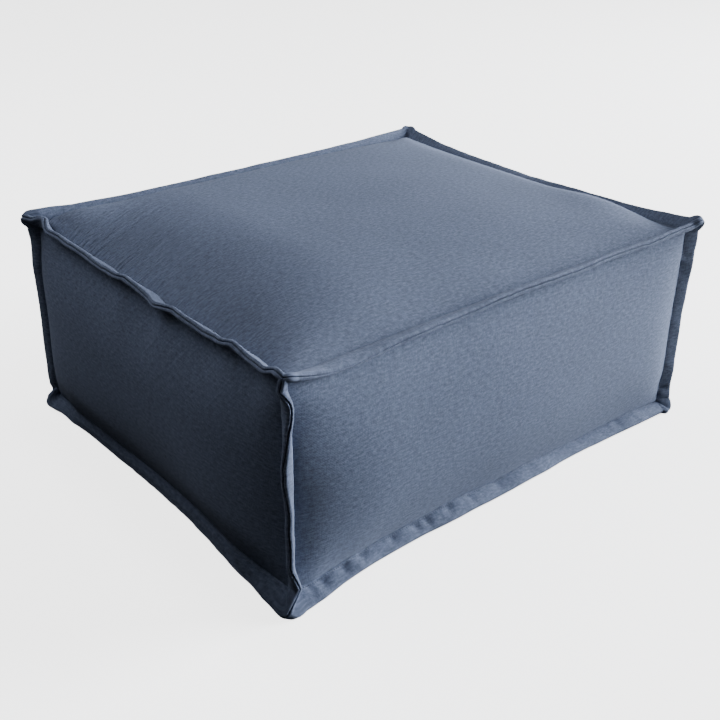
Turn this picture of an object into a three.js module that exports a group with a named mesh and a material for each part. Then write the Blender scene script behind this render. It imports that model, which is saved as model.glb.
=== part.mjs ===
// A modular sofa ottoman: a filled block in a cover of six panels, with a flanged seam along every edge.
// Millimetres, +Z up. The origin is on the floor under the middle, and the front long side faces -Y.
import * as THREE from "three";
import { mergeVertices } from "three/addons/utils/BufferGeometryUtils.js";

// Size over the corner tips of the flanges at the floor. The top ones stand in by TOP_INSET on every side.
const LENGTH = 902;
const DEPTH = 752;
const TIP_HEIGHT = 384;
const TOP_INSET = 2;

// The flanged seam: two plies, one of each panel, topstitched together where they leave the body
const FLANGE_WIDTH = 25;
const FLANGE_ROOT = 5;
const PLY = 4.2;
const ROOT_PLY = 3;
const LIP_SPREAD = 1.3;
const LIP_ROUNDING = 1.6;
const PLY_GAP = 0.4;
const BODY_GAP = 0.4;
const CORNER_GAP = 3.2;

// How far a corner tip stands out from its stitched corner, along each axis
const TOP_REACH = 17.5;
const BOTTOM_REACH = 26;
const BOTTOM_STITCH_HEIGHT = 18;
const BOTTOM_TIP_HEIGHT = 5.5;

// The filled body: how far each panel swells past its stitching, and the distance in which it does so
const CROWN = 64;
const SIDE_SWELL = 27;
const FLOOR_SWELL = 40;
const SWELL_DISTANCE = 52;

// Steps along an edge. The body takes the first, the last and every second one between.
const STEPS = { x: 32, y: 26, z: 14 };
const BODY_STRIDE = 2;

// Degrees halfway between an edge's two outward normals, the power by which an edge's draw levels off
// towards its middle, and how near points are to be one
const HALFWAY = 45;
const DRAW_POWER = 3;
const WELD = 1e-3;

const CLOTH_COLOUR = 0x66728a;
const CLOTH_ROUGHNESS = 0.95;

// Each panel's outward normal, and how far its filled middle swells
const PANELS = {
  top: { normal: new THREE.Vector3(0, 0, 1), swell: CROWN },
  bottom: { normal: new THREE.Vector3(0, 0, -1), swell: FLOOR_SWELL },
  front: { normal: new THREE.Vector3(0, -1, 0), swell: SIDE_SWELL },
  back: { normal: new THREE.Vector3(0, 1, 0), swell: SIDE_SWELL },
  left: { normal: new THREE.Vector3(-1, 0, 0), swell: SIDE_SWELL },
  right: { normal: new THREE.Vector3(1, 0, 0), swell: SIDE_SWELL },
};

// Where the flange points along an edge. at is the share of the way from the edge's lower end (by X, Y or Z),
// tilt is in degrees from the first panel's outward normal towards the second's, and out is how far the
// stitching stands out along the first panel's normal from its even draw.
const FRONT_TOP_RUN = [
  { at: 0.03, tilt: 20 },
  { at: 0.07, tilt: -8 },
  { at: 0.13, tilt: -11 },
  { at: 0.19, tilt: 2 },
  { at: 0.25, tilt: 10 },
  { at: 0.34, tilt: 14 },
  { at: 0.44, tilt: 25 },
  { at: 0.55, tilt: 28 },
  { at: 0.65, tilt: 23 },
  { at: 0.72, tilt: 30 },
  { at: 0.81, tilt: 30 },
  { at: 0.85, tilt: 27 },
  { at: 0.94, tilt: 37 },
];
const LEFT_TOP_RUN = [
  { at: 0.04, tilt: 35, out: 0 },
  { at: 0.09, tilt: 37, out: -6 },
  { at: 0.16, tilt: 55, out: -1 },
  { at: 0.19, tilt: 46, out: 0 },
  { at: 0.27, tilt: 30, out: -5 },
  { at: 0.35, tilt: 46, out: -1 },
  { at: 0.42, tilt: 26, out: -1 },
  { at: 0.47, tilt: 29, out: -8 },
  { at: 0.57, tilt: 50, out: -1 },
  { at: 0.61, tilt: 39, out: 1 },
  { at: 0.67, tilt: 30, out: -6 },
  { at: 0.77, tilt: 39, out: -3 },
  { at: 0.9, tilt: 44, out: -2 },
  { at: 0.96, tilt: 74, out: 0 },
];
const BACK_TOP_RUN = [
  { at: 0.05, tilt: 46 },
  { at: 0.25, tilt: 38 },
  { at: 0.42, tilt: 44 },
  { at: 0.6, tilt: 36 },
  { at: 0.85, tilt: 45 },
];
const RIGHT_TOP_RUN = [
  { at: 0.05, tilt: 31 },
  { at: 0.15, tilt: 28 },
  { at: 0.35, tilt: 23 },
  { at: 0.5, tilt: 8 },
  { at: 0.65, tilt: 12 },
  { at: 0.85, tilt: 16 },
  { at: 0.94, tilt: 26 },
];
const FRONT_LEFT_RUN = [
  { at: 0.07, tilt: 22 },
  { at: 0.14, tilt: 34 },
  { at: 0.24, tilt: 43 },
  { at: 0.43, tilt: 43 },
  { at: 0.57, tilt: 61 },
  { at: 0.65, tilt: 59 },
  { at: 0.79, tilt: 37 },
  { at: 0.9, tilt: 22 },
];
const FRONT_RIGHT_RUN = [
  { at: 0.1, tilt: 50 },
  { at: 0.5, tilt: 42 },
  { at: 0.85, tilt: 48 },
];
const BACK_LEFT_RUN = [
  { at: 0.1, tilt: 48 },
  { at: 0.45, tilt: 38 },
  { at: 0.85, tilt: 52 },
];
const BACK_RIGHT_RUN = [
  { at: 0.15, tilt: 42 },
  { at: 0.55, tilt: 52 },
  { at: 0.85, tilt: 40 },
];
const FRONT_FLOOR_RUN = [
  { at: 0.05, tilt: 27, out: 7 },
  { at: 0.1, tilt: 29, out: 9 },
  { at: 0.2, tilt: 30, out: 4 },
  { at: 0.3, tilt: 29, out: 5 },
  { at: 0.5, tilt: 29, out: 7 },
  { at: 0.75, tilt: 30, out: 2 },
  { at: 0.95, tilt: 28, out: 2 },
];
const LEFT_FLOOR_RUN = [
  { at: 0.05, tilt: 27, out: 6 },
  { at: 0.18, tilt: 29, out: 10 },
  { at: 0.33, tilt: 30, out: 4 },
  { at: 0.5, tilt: 30, out: 1 },
  { at: 0.7, tilt: 29, out: 3 },
  { at: 0.95, tilt: 28, out: 3 },
];
const BACK_FLOOR_RUN = [
  { at: 0.08, tilt: 28, out: 4 },
  { at: 0.35, tilt: 30, out: 1 },
  { at: 0.7, tilt: 29, out: 5 },
  { at: 0.94, tilt: 28, out: 3 },
];
const RIGHT_FLOOR_RUN = [
  { at: 0.07, tilt: 28, out: 3 },
  { at: 0.4, tilt: 29, out: 4 },
  { at: 0.75, tilt: 30, out: 0 },
  { at: 0.93, tilt: 28, out: 4 },
];

// Each edge joins its two panels. root is the direction in which its stitched root points, the same way as
// tilt, and drawn is how far its stitching is drawn in from each of its panels halfway along.
const EDGES = {
  frontTop: { axis: "x", panels: ["front", "top"], root: 30, drawn: [13, 5], run: FRONT_TOP_RUN },
  backTop: { axis: "x", panels: ["back", "top"], root: 36, drawn: [14, 1], run: BACK_TOP_RUN },
  leftTop: { axis: "y", panels: ["left", "top"], root: 38, drawn: [8, 12], run: LEFT_TOP_RUN },
  rightTop: { axis: "y", panels: ["right", "top"], root: 34, drawn: [14, 8], run: RIGHT_TOP_RUN },
  frontBottom: { axis: "x", panels: ["front", "bottom"], root: 34, drawn: [14, 0], run: FRONT_FLOOR_RUN },
  backBottom: { axis: "x", panels: ["back", "bottom"], root: 34, drawn: [14, 0], run: BACK_FLOOR_RUN },
  leftBottom: { axis: "y", panels: ["left", "bottom"], root: 34, drawn: [14, 0], run: LEFT_FLOOR_RUN },
  rightBottom: { axis: "y", panels: ["right", "bottom"], root: 34, drawn: [14, 0], run: RIGHT_FLOOR_RUN },
  frontLeft: { axis: "z", panels: ["front", "left"], root: 45, drawn: [5, 5], run: FRONT_LEFT_RUN },
  frontRight: { axis: "z", panels: ["front", "right"], root: 45, drawn: [0, 0], run: FRONT_RIGHT_RUN },
  backLeft: { axis: "z", panels: ["back", "left"], root: 45, drawn: [3, 3], run: BACK_LEFT_RUN },
  backRight: { axis: "z", panels: ["back", "right"], root: 45, drawn: [5, 5], run: BACK_RIGHT_RUN },
};

// The four edges round each panel, in order, each walked forwards or backwards
const LOOPS = {
  top: [["frontTop", 1], ["rightTop", 1], ["backTop", -1], ["leftTop", -1]],
  bottom: [["frontBottom", 1], ["rightBottom", 1], ["backBottom", -1], ["leftBottom", -1]],
  front: [["frontBottom", 1], ["frontRight", 1], ["frontTop", -1], ["frontLeft", -1]],
  back: [["backBottom", 1], ["backRight", 1], ["backTop", -1], ["backLeft", -1]],
  left: [["leftBottom", 1], ["backLeft", 1], ["leftTop", -1], ["frontLeft", -1]],
  right: [["rightBottom", 1], ["backRight", 1], ["rightTop", -1], ["frontRight", -1]],
};

// Which way along an edge leaves the faces of a panel's margin pointing out
const MARGIN_WAY = { top: -1, bottom: 1, front: -1, back: 1, left: 1, right: -1 };

// A corner is where three panels meet: out says on which side, stitch is the body's stitched corner, and seam
// is the tip where the three flanges meet.
function cornerAt(x, y, z) {
  const reach = z > 0 ? TOP_REACH : BOTTOM_REACH;
  const inset = z > 0 ? TOP_INSET : 0;
  const seamX = LENGTH / 2 - inset;
  const seamY = DEPTH / 2 - inset;
  const seamHeight = z > 0 ? TIP_HEIGHT : BOTTOM_TIP_HEIGHT;
  const stitchHeight = z > 0 ? TIP_HEIGHT - TOP_REACH : BOTTOM_STITCH_HEIGHT;
  return {
    out: new THREE.Vector3(x, y, z),
    stitch: new THREE.Vector3(x * (seamX - reach), y * (seamY - reach), stitchHeight),
    seam: new THREE.Vector3(x * seamX, y * seamY, seamHeight),
  };
}

const SIDES = [-1, 1];
const CORNERS = SIDES.flatMap((x) => SIDES.flatMap((y) => SIDES.map((z) => cornerAt(x, y, z))));

// The two corners at the ends of an edge, the lower one first
function cornersOf(edge) {
  const [first, second] = edge.panels.map((name) => PANELS[name].normal);
  const ends = CORNERS.filter(({ out }) => out.dot(first) > 0 && out.dot(second) > 0);
  return ends.sort((a, b) => a.out[edge.axis] - b.out[edge.axis]);
}

// One column of a run at a share of the way, in straight steps between its rows and the corners' own values
function runAt(edge, column, share) {
  const corner = { tilt: HALFWAY, out: 0 };
  const rows = [{ at: 0, ...corner }, ...edge.run, { at: 1, ...corner }];
  const next = rows.findIndex((row, i) => i > 0 && share <= row.at);
  const before = rows[next - 1];
  const after = rows[next];
  const { mapLinear } = THREE.MathUtils;
  return mapLinear(share, before.at, after.at, before[column] ?? 0, after[column] ?? 0);
}

// A direction in the plane across an edge, turned from the first panel's outward normal towards the second's
function acrossEdge(edge, degrees) {
  const [first, second] = edge.panels.map((name) => PANELS[name].normal);
  const angle = THREE.MathUtils.degToRad(degrees);
  return first.clone().multiplyScalar(Math.cos(angle)).addScaledVector(second, Math.sin(angle));
}

// The steps of an edge that the body uses
function bodySteps(axis) {
  const last = STEPS[axis];
  const between = Array.from({ length: last / BODY_STRIDE }, (unused, i) => 1 + i * BODY_STRIDE);
  return [0, ...between, last];
}

// What share of its draw the stitching has taken: fast near the corners, level along the middle
function drawAt(share) {
  return 1 - Math.abs(2 * share - 1) ** DRAW_POWER;
}

// The stitching at one step. Between two steps of the body it runs straight from one to the other.
function stitchAt(edge, step) {
  if (!edge.bodySteps.includes(step)) {
    return stitchAt(edge, step - 1).lerp(stitchAt(edge, step + 1), 0.5);
  }
  const share = step / STEPS[edge.axis];
  const stitch = edge.corners[0].stitch.clone().lerp(edge.corners[1].stitch, share);
  const [first, second] = edge.panels.map((name) => PANELS[name].normal);
  stitch.addScaledVector(first, runAt(edge, "out", share) - edge.drawn[0] * drawAt(share));
  return stitch.addScaledVector(second, -edge.drawn[1] * drawAt(share));
}

// The middle line of a flange's section at one step: its stitching, its root and its seam
function sectionOf(edge, step) {
  const steps = STEPS[edge.axis];
  if (step === 0 || step === steps) {
    const corner = edge.corners[step === 0 ? 0 : 1];
    const out = corner.seam.clone().sub(corner.stitch);
    const root = corner.stitch.clone().addScaledVector(out, FLANGE_ROOT / FLANGE_WIDTH);
    return { ...corner, root, corner };
  }
  const tilt = runAt(edge, "tilt", step / steps);
  const stitch = stitchAt(edge, step);
  const root = stitch.clone().addScaledVector(acrossEdge(edge, edge.root), FLANGE_ROOT);
  const seam = root.clone().addScaledVector(acrossEdge(edge, tilt), FLANGE_WIDTH - FLANGE_ROOT);
  return { stitch, root, seam, tilt };
}

for (const edge of Object.values(EDGES)) {
  edge.corners = cornersOf(edge);
  edge.bodySteps = bodySteps(edge.axis);
  edge.sections = Array.from({ length: STEPS[edge.axis] + 1 }, (unused, step) => sectionOf(edge, step));
}

// The unit direction across a flange that points to one of its panels
function sideAcross(edge, degrees, panel) {
  return acrossEdge(edge, degrees + 90).multiplyScalar(edge.panels[1] === panel ? 1 : -1);
}

// At a corner a panel's margin is mitred: the offset that stays one unit from both of its flanges there
function mitreAt(corner, panel) {
  const out = corner.seam.clone().sub(corner.stitch);
  const meeting = LOOPS[panel].map(([name]) => EDGES[name]).filter((edge) => edge.corners.includes(corner));
  const [first, second] = meeting.map((edge) => {
    const along = new THREE.Vector3();
    along[edge.axis] = 1;
    const normal = along.cross(out).normalize();
    return normal.multiplyScalar(Math.sign(normal.dot(sideAcross(edge, HALFWAY, panel))));
  });
  return first.clone().add(second).divideScalar(1 + first.dot(second));
}

// The offsets across the root and across the outer part of a section, towards one of its panels
function sidesOf(edge, section, panel) {
  if (!section.corner) {
    return { rootSide: sideAcross(edge, edge.root, panel), leanSide: sideAcross(edge, section.tilt, panel) };
  }
  const side = mitreAt(section.corner, panel);
  return { rootSide: side, leanSide: side };
}

// A geometry from triangles that share corners by place
function closedGeometry(triangles) {
  const positions = triangles.flat().flatMap((point) => point.toArray());
  const loose = new THREE.BufferGeometry();
  loose.setAttribute("position", new THREE.Float32BufferAttribute(positions, 3));
  const geometry = mergeVertices(loose, WELD);
  geometry.computeVertexNormals();
  return geometry;
}

// Two triangles for each cell between neighbouring lines of points, split the same way in every cell
function gridTriangles(lines) {
  return lines.slice(1).flatMap((line, j) =>
    line.slice(1).flatMap((point, i) => [
      [lines[j][i], lines[j][i + 1], point],
      [lines[j][i], point, line[i]],
    ]),
  );
}

function turned(triangles) {
  return triangles.map(([a, b, c]) => [a, c, b]);
}

// One ply across its thickness: flat on its neighbour at the root, rounded at the lip and puffed outside
function plySection(edge, section, panel) {
  const { stitch, root, seam, corner } = section;
  const { rootSide, leanSide } = sidesOf(edge, section, panel);
  const out = root.clone().sub(stitch).normalize();
  const lean = seam.clone().sub(root).normalize();
  const inner = PLY_GAP / 2;
  const bodyGap = corner ? CORNER_GAP : BODY_GAP;
  const at = (from, along, side, offset) => from.clone().add(along).addScaledVector(side, offset);
  const none = new THREE.Vector3();
  const start = out.multiplyScalar(bodyGap);
  const shoulder = lean.multiplyScalar(-LIP_ROUNDING);
  return [
    at(stitch, start, rootSide, inner),
    at(root, none, rootSide, inner),
    at(seam, none, leanSide, inner + LIP_SPREAD),
    at(seam, shoulder, leanSide, inner + PLY),
    at(root, none, rootSide, inner + ROOT_PLY),
    at(stitch, start, rootSide, inner + ROOT_PLY),
    at(stitch, start, rootSide, inner),
  ];
}

// A panel's margin: its own ply of the four flanges round it, as one closed frame
function marginGeometry(panel) {
  const triangles = LOOPS[panel].flatMap(([name, way]) => {
    const edge = EDGES[name];
    const ply = gridTriangles(edge.sections.map((section) => plySection(edge, section, panel)));
    return way === MARGIN_WAY[panel] ? ply : turned(ply);
  });
  return closedGeometry(triangles);
}

// How far a filled panel has swollen at a share of its width
function swellAcross(share, width) {
  const rise = (distance) => 1 - Math.exp(-distance / SWELL_DISTANCE);
  return rise(share * width) * rise((1 - share) * width);
}

// The line along an edge where the body's panel meets its stitching
function hemLine(panel, name) {
  const edge = EDGES[name];
  return edge.bodySteps.map((step) => {
    const section = edge.sections[step];
    const { rootSide } = sidesOf(edge, section, panel);
    return section.stitch.clone().addScaledVector(rootSide, PLY_GAP / 2 + ROOT_PLY);
  });
}

// The filled panel between its four lines of stitching, swollen along its outward normal
function panelGrid(panel) {
  const { normal, swell } = PANELS[panel];
  const [low, far, high, near] = LOOPS[panel].map(([name]) => hemLine(panel, name));
  const columns = low.length - 1;
  const rows = near.length - 1;
  const width = low[0].distanceTo(low[columns]);
  const height = near[0].distanceTo(near[rows]);
  return near.map((unused, j) =>
    low.map((alsoUnused, i) => {
      const u = low[0].distanceTo(low[i]) / width;
      const v = near[0].distanceTo(near[j]) / height;
      const across = low[i].clone().lerp(high[i], v);
      const along = near[j].clone().lerp(far[j], u);
      const lowEdge = low[0].clone().lerp(low[columns], u);
      const highEdge = high[0].clone().lerp(high[columns], u);
      const point = across.add(along).sub(lowEdge.lerp(highEdge, v));
      point.addScaledVector(normal, swell * swellAcross(u, width) * swellAcross(v, height));
      point.z = Math.max(point.z, 0);
      return point;
    }),
  );
}

// Turns a run of triangles so that they face along a direction
function facing(triangles, direction) {
  const [a, b, c] = triangles[Math.floor(triangles.length / 2)];
  const normal = b.clone().sub(a).cross(c.clone().sub(a));
  return normal.dot(direction) > 0 ? triangles : turned(triangles);
}

// The filled block: six swollen panels, joined by a narrow strip behind the stitching of each flange
function bodyGeometry() {
  const faces = Object.entries(PANELS).flatMap(([panel, { normal }]) =>
    facing(gridTriangles(panelGrid(panel)), normal),
  );
  const strips = Object.entries(EDGES).flatMap(([name, edge]) =>
    facing(gridTriangles(edge.panels.map((panel) => hemLine(panel, name))), acrossEdge(edge, HALFWAY)),
  );
  const corners = CORNERS.flatMap((corner) => {
    const panels = Object.keys(PANELS).filter((panel) => corner.out.dot(PANELS[panel].normal) > 0);
    const points = panels.map((panel) =>
      corner.stitch.clone().addScaledVector(mitreAt(corner, panel), PLY_GAP / 2 + ROOT_PLY),
    );
    return facing([points], corner.out);
  });
  return closedGeometry([...faces, ...strips, ...corners]);
}

function cloth(name, geometry) {
  const material = new THREE.MeshStandardMaterial({
    color: CLOTH_COLOUR,
    roughness: CLOTH_ROUGHNESS,
    metalness: 0,
  });
  const mesh = new THREE.Mesh(geometry, material);
  mesh.name = name;
  return mesh;
}

const ottoman = new THREE.Group();
ottoman.add(cloth("filled_body", bodyGeometry()));
for (const panel of Object.keys(PANELS)) {
  ottoman.add(cloth(`${panel}_panel_margin`, marginGeometry(panel)));
}

export default ottoman;
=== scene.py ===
import bpy
import functools
import itertools
import math
import numpy as np
from mathutils import Matrix, Vector


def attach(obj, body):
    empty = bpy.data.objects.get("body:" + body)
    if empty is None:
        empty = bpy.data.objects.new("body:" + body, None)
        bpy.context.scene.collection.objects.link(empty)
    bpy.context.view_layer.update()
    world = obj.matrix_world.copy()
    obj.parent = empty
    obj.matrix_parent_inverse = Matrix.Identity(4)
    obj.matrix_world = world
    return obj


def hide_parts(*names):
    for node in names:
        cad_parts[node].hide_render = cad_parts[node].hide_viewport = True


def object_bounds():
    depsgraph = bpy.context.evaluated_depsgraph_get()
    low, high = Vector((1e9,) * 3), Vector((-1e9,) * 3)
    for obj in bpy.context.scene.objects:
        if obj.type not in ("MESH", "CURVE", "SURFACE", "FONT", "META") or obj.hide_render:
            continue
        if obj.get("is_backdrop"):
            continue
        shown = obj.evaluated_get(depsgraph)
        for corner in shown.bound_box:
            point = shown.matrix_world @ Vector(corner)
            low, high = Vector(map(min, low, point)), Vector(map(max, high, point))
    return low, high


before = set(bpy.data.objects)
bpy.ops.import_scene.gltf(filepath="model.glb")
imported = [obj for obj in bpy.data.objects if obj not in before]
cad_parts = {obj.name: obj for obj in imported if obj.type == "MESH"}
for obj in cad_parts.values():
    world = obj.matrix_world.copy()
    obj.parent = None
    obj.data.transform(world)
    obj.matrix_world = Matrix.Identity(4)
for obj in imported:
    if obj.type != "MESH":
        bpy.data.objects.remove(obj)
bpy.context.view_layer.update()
print("frame loaded")

# All shapes are worked out in millimetres in the frame's axes, and turned to metres as the meshes are made.

# Where the topstitching turns each corner, and where the three seams meet at its tip
corners = {
    "frontLeftTop": {"stitch": (-431.5, -356.5, 366.5), "tip": (-449, -375, 384)},
    "frontRightTop": {"stitch": (431.5, -356.5, 366.5), "tip": (451, -376, 386.5)},
    "backLeftTop": {"stitch": (-429, 353, 366), "tip": (-451, 376, 377)},
    "backRightTop": {"stitch": (431.5, 356.5, 366.5), "tip": (449, 374, 384)},
    "frontLeftFloor": {"stitch": (-425, -350, 18), "tip": (-456, -379, 5.5)},
    "frontRightFloor": {"stitch": (438, -350, 16), "tip": (446, -377, 5)},
    "backLeftFloor": {"stitch": (-430, 364, 26), "tip": (-439, 371, 37)},
    "backRightFloor": {"stitch": (425, 350, 18), "tip": (451, 376, 6)},
}

# Each panel's outward normal and how far its filled middle swells. Sides are its low, far, high and near
# edges: the share of the swelling that rises in a shoulder there, how far in the shoulder reaches, and how
# far in the slow dome over it reaches. Plump places stand prouder: across, up, radius and height.
panels = {
    "top": {"normal": (0, 0, 1), "swell": 50,
            "sides": ((0.25, 50, 246), (0.54, 16, 390), (0.64, 15, 340), (0.2, 50, 240)),
            "plump": [(-405, 335, 75, 18), (400, -200, 70, 9), (415, -320, 45, -8), (380, 330, 80, -3)]},
    "bottom": {"normal": (0, 0, -1), "swell": 40, "sides": ((0.9, 52, 300),) * 4},
    "front": {"normal": (0, -1, 0), "swell": 30,
              "sides": ((0.7, 30, 157), (0.38, 30, 415), (0.14, 30, 164), (0.15, 30, 184))},
    "back": {"normal": (0, 1, 0), "swell": 30,
             "sides": ((0.4, 30, 157), (0.3, 30, 300), (0.3, 30, 160), (0.3, 30, 260))},
    "left": {"normal": (-1, 0, 0), "swell": 32,
             "sides": ((0.15, 30, 163), (0.5, 30, 250), (0.14, 30, 146), (0.17, 30, 194))},
    "right": {"normal": (1, 0, 0), "swell": 28,
              "sides": ((0.3, 30, 163), (0.3, 30, 250), (0.3, 30, 146), (0.3, 30, 220))},
}

# A flange: two plies, one of each panel, lying on each other past the topstitching
flange = {
    "width": 25,
    "root": 5,  # how far out it bends from its root's direction to its tilt
    "bend": (0.4, 1.3),  # where that bend starts and how long it is, in roots
    "settle": 4,  # the tilt is averaged over this far either way
    "wobble": ((2.5, 31), (1.5, 14)),  # the tilt's small turns: degrees and spacing
    "uneven": (0.6, 45),  # the width's unevenness: depth and spacing
    "calmEnds": (10, 40),  # where both start from a corner, and over how far they grow
    "step": 3,  # spacing of sections along an edge
    "dentShape": [5, 0],  # a dent's reach and slant, where the edge doesn't say
    "dentPlace": (0.3, 0.4),  # where across the width it is deepest, and its spread
    "dentEnds": 6,  # dents fade this near to a corner
    "pressed": 0.6,  # the share of a dent that both plies take together
    "pressedFrom": 0.15,  # how far out they take it in full, as a share of the width
    "pressedTo": (1.15, 0.5),  # where that ends, and over how much it fades
    "fan": 9,  # sections that turn about a stitched corner to its tip
    "fanRoots": (5, 5),  # the length of stitching they share at an edge's low and high end
    "fanTurn": 1.5,  # how soon they point straight to the tip's outline
    "tipRound": 0.75,  # how broad the rounded tips are
    "softFrom": (0.4, 0.62),  # where a soft ply starts to round off, and over how much
}

# One ply's section: distance out from the stitching as a share of the width, outer face, inner face. It
# starts a little way inside the filled body, so that no gap shows.
levels = np.array([
    -0.08, 0, 0.012, 0.045, 0.1, 0.18, 0.28, 0.4, 0.54, 0.68, 0.8, 0.87, 0.925, 0.965, 0.99, 1])
outerFace = np.array([1.2, 1.8, 2.1, 2.2, 2.7, 3.5, 4.4, 5, 5.4, 5.5, 5.6, 5.6, 5.3, 4.6, 3.5, 2.7])
innerFace = np.array([0.25] * 11 + [0.3, 0.6, 1.1, 1.7, 2.6])

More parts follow.
